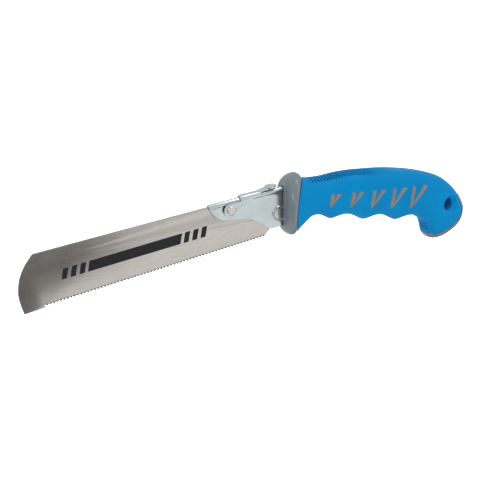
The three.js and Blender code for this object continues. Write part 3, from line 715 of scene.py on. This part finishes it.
def grip_surface(rings, around, detail=True):
    """Points (rings, around, 3) of the overmould's skin, with its ribs and dish unless detail is off."""
    grid, angle = section_grid(GRIP_STATIONS, np.linspace(0, 1, rings), around, finger_groove)
    if not detail:
        return grid
    normal = grid_normals(grid)
    x, y, z = grid[:, :, 0], grid[:, :, 1], grid[:, :, 2]
    turn = np.broadcast_to(angle, x.shape)
    on_top = smoothstep(np.cos(turn), 0.0, 0.3)
    below = smoothstep(-np.cos(turn), 0.0, 0.3)
    # thumb ribs over the top, fading out over the palm
    thumb_pitch = 2.1
    zone = on_top * between(x, (17, 19), (58, 70)) * within(y, 6.4 + 0.02 * (x - 18), 0.4)
    sink = 1.9 * ribs(x, thumb_pitch, 3) * zone
    # crossed fine ribs further back
    crossed = np.maximum(ribs(y, 1.9, 2), ribs(x, thumb_pitch, 2))
    zone = on_top * between(x, (48, 54), (72, 78)) * within(y, 8.2, 1.0)
    sink = np.maximum(sink, 0.55 * crossed * zone)
    # fine ribs across the finger grooves
    zone = below * between(x, (12, 16), (88, 92)) * within(y, 7.6, 1.2)
    sink = np.maximum(sink, 0.55 * ribs(x, 1.7, 2) * zone)
    # fine ribs down the inside of the hook
    inside = smoothstep(-np.cos(turn), 0.55, 0.8)
    zone = inside * between(x, (90, 93), (101.0, 102.5)) * smoothstep(z, -53, -51.5) * within(y, 5.8, 1.0)
    sink = np.maximum(sink, 0.8 * ribs(z + 0.5 * x, 2.0, 2) * zone)
    grid = grid - normal * sink[:, :, None]
    # dish round the hang hole, deeper towards the butt
    a, b = hang_axes(x - 0.8, z + 0.3)
    dish = 2.8 * (1 - smoothstep(np.hypot(a, b), 0.85, 1.8))
    grid[:, :, 1] -= np.sign(y) * dish * smoothstep(np.abs(y), 4, 7)
    return grid


def from_grip_axes(u, v):
    """A point u along the drooping axis of the grip and v above it."""
    c, s = math.cos(GRIP_DROOP), math.sin(GRIP_DROOP)
    return u * c + v * s, v * c - u * s


def chevron_outline(i, grow):
    """Outline of the i-th chevron, which gets taller and wider towards the butt, moved outward by grow."""
    u = 30.0 + 15.1 * i
    leg = 0.6 + 1.75 * i
    spread = 5.2 + 1.05 * i
    notch = (u + 2.0 - 0.3 * i + 0.9 * grow, -3.4 - 0.4 * i + 4.4 * grow)
    corners = [
        (u - 1.3 - grow, -6.7),
        (u - 0.1, -8.6 - grow),
        (u + spread + 1.7 + grow, leg + 0.3 + grow),
        (u + spread - 1.6 - grow, leg + 0.9 + grow),
        notch,
        (u + 1.6 + grow, leg - 0.2 + grow),
        (u - 0.8 - grow, leg + 0.2 + grow),
    ]
    return [from_grip_axes(*corner) for corner in corners]


def butt_line(out, swell=0.0):
    """The rear edge of the grip seen from the side, moved outward, from the palm round to the hook."""
    span = len(GRIP_STATIONS) - 1
    steps = round((span - TRIM_FIRST_STATION) * 10) + 1
    params = np.linspace(TRIM_FIRST_STATION, span, steps) / span
    top = spline([(s[0], s[1]) for s in GRIP_STATIONS], params)
    bottom = spline([(s[2], s[3]) for s in GRIP_STATIONS], params[::-1])
    path = np.vstack([top, bottom])
    tangent = np.gradient(path, axis=0)
    tangent /= np.linalg.norm(tangent, axis=1, keepdims=True)
    outs = out - swell * np.sin(np.linspace(0, np.pi, len(path)))
    return [(p[0] - t[1] * o, p[1] + t[0] * o) for p, t, o in zip(path, tangent, outs)]


def trim_outline(out, gap):
    return butt_line(out) + butt_line(-TRIM_END_DEPTH - gap, TRIM_SWELL)[::-1]


def build_grip():
    grip = grid_object("grip skin", grip_surface(620, 176))
    plain = grip_surface(160, 64, detail=False)
    normal = grid_normals(plain)
    floor = grid_object("floor", plain - normal * 1.5)
    pockets = None
    for i in range(5):
        for _, y0, y1 in INLAY_SIDES:
            cutter = slab("pocket", chevron_outline(i, 0.16), y0, y1)
            if pockets is None:
                pockets = cutter
            else:
                combine(pockets, cutter, "UNION")
    combine(pockets, floor, "DIFFERENCE")
    combine(grip, pockets, "DIFFERENCE")
    combine(grip, slab("hole", hang_oval(), -PAST_GRIP, PAST_GRIP), "DIFFERENCE")
    combine(grip, slab("trim seat", trim_outline(6, 0.12), -PAST_GRIP, PAST_GRIP), "DIFFERENCE")
    piece(grip, "handle_body", "blue_rubber", BLUE, "grip_overmould", angle=40)


def build_chevrons():
    plain = grip_surface(160, 64, detail=False)
    normal = grid_normals(plain)
    for side, y0, y1 in INLAY_SIDES:
        for i in range(5):
            inlay = slab(f"chevron {side} {i + 1}", chevron_outline(i, 0.02), y0, y1)
            combine(inlay, grid_object("outer", plain + normal * 0.06), "INTERSECT")
            combine(inlay, grid_object("inner", plain - normal * 1.4), "DIFFERENCE")
            bevel(inlay, 0.12, 2, 50)
            node = f"chevron_inlay_{side}_{i + 1}"
            piece(inlay, "handle_body", "chevron_grey", CHEVRON_GREY, node, angle=40)


def build_trim():
    plain = grip_surface(240, 96, detail=False)
    skin = grid_object("trim skin", plain + grid_normals(plain) * 0.3)
    trim = slab("butt trim rim", trim_outline(5, 0), -PAST_GRIP, PAST_GRIP)
    combine(trim, skin, "INTERSECT")
    bevel(trim, 0.3, 3, 50)
    piece(trim, "handle_body", "grey_plastic", TRIM_GREY, "butt_trim", angle=40)


def build_guard():
    grid, _ = section_grid(GUARD_STATIONS, np.linspace(0, 1, 90), 160)
    guard = grid_object("guard collar shell", grid)
    half, top, bottom = 2.12, 3.25, -24.0
    slot = bar("slot", [(half, bottom), (half, top), (-half, top), (-half, bottom)], -20, 8)
    combine(guard, slot, "DIFFERENCE")
    radius, half = 5.55, 2.7
    pocket = [(0, -half), (radius, -half), (radius, half), (0, half)]
    combine(guard, turned("pocket", pocket, STOP_PIN_X, STOP_PIN_Z, 64), "DIFFERENCE")
    piece(guard, "handle_body", "grey_plastic", GUARD_GREY, "guard_collar", angle=50)


def refinish_hidden():
    """CAD nodes inside the grip keep their shape and get a real material."""
    looks = {
        "grip_core_near": CORE_GREY,
        "grip_core_far": CORE_GREY,
        "tang_spacer": ZINC,
        "tang_pin_front": RIVET,
        "tang_pin_rear": RIVET,
    }
    for node, material in looks.items():
        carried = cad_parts[node]
        carried.data.materials.clear()
        carried.data.materials.append(material)


build_blade()
build_teeth()
build_print()
build_holder()
build_lever()
build_rivet()
build_washers()
build_stop_pin()
build_grip()
build_chevrons()
build_trim()
build_guard()
refinish_hidden()


# ---- camera, floor and light ----

CAMERA_AZIMUTH = math.radians(-20.0)
CAMERA_ELEVATION = math.radians(20.0)
CAMERA_ROLL = math.radians(7.9)
CAMERA_DISTANCE = 1.0
AIM = SHIFT + Vector((-35.0, 2.2, -27.1)) * MM


def add_camera():
    back = Vector((
        math.sin(CAMERA_AZIMUTH) * math.cos(CAMERA_ELEVATION),
        -math.cos(CAMERA_AZIMUTH) * math.cos(CAMERA_ELEVATION),
        math.sin(CAMERA_ELEVATION),
    ))
    data = bpy.data.cameras.new("camera")
    data.lens = 113.1
    data.sensor_width = 36.0
    camera = bpy.data.objects.new("camera", data)
    bpy.context.scene.collection.objects.link(camera)
    camera.location = AIM + back * CAMERA_DISTANCE
    turn = (-back).to_track_quat("-Z", "Y")
    roll = Matrix.Rotation(-CAMERA_ROLL, 3, "Z").to_quaternion()
    camera.rotation_mode = "QUATERNION"
    camera.rotation_quaternion = turn @ roll
    bpy.context.scene.camera = camera


def add_floor():
    mesh = bpy.data.meshes.new("floor")
    size, z = 6.0, -0.30
    corners = [(-size, -size, z), (size, -size, z), (size, size, z), (-size, size, z)]
    mesh.from_pydata(corners, [], [(0, 1, 2, 3)])
    floor = bpy.data.objects.new("floor", mesh)
    bpy.context.scene.collection.objects.link(floor)
    f = Finish("pale floor", (0.9, 0.9, 0.9), 0.9)
    f.set(Emission_Color=(1, 1, 1, 1))
    path = f.nodes.new("ShaderNodeLightPath")
    glow = f.ramp(path.outputs["Is Camera Ray"], 0, 1, 0.12, 0.8)
    f.links.new(glow, f.shader.inputs["Emission Strength"])
    mesh.materials.append(f.material)


def add_light(name, position, power, size):
    data = bpy.data.lights.new(name, "AREA")
    data.energy = power
    data.shape = "DISK"
    data.size = size
    light = bpy.data.objects.new(name, data)
    bpy.context.scene.collection.objects.link(light)
    light.location = position
    light.rotation_mode = "QUATERNION"
    light.rotation_quaternion = (-Vector(position)).to_track_quat("-Z", "Y")


def add_flag(name, corners, shade):
    """A dark flag beside the saw that only reflections see; corners are in metres."""
    mesh = bpy.data.meshes.new(name)
    mesh.from_pydata(corners, [], [(0, 1, 2, 3)])
    flag = bpy.data.objects.new(name, mesh)
    bpy.context.scene.collection.objects.link(flag)
    mesh.materials.append(Finish(name, (shade, shade, shade), 0.9).material)
    flag.visible_camera = False
    flag.visible_diffuse = False
    flag.visible_shadow = False


def add_world():
    world = bpy.data.worlds.new("studio")
    world.use_nodes = True
    world.node_tree.nodes["Background"].inputs["Color"].default_value = (1, 1, 1, 1)
    world.node_tree.nodes["Background"].inputs["Strength"].default_value = 0.85
    bpy.context.scene.world = world


add_camera()
add_floor()
add_world()
add_light("overhead", (0.4, -0.42, 1.06), 4, 0.5)
add_light("key", (-0.9, -1.1, 0.5), 2.2, 0.25)
add_light("side", (0.9, -0.7, 0.4), 0.8, 0.6)
add_flag(
    "flag by the tip",
    [(-0.62, -0.26, -0.36), (-0.02, -0.26, -0.36), (-0.07, -0.26, 0.06), (-0.62, -0.26, 0.06)],
    0.2,
)
add_flag(
    "flag underneath",
    [(0.0, -0.07, -0.14), (0.5, -0.07, -0.14), (0.5, 0.06, -0.14), (0.0, 0.06, -0.14)],
    0.08,
)
bpy.context.scene.view_settings.view_transform = "Standard"
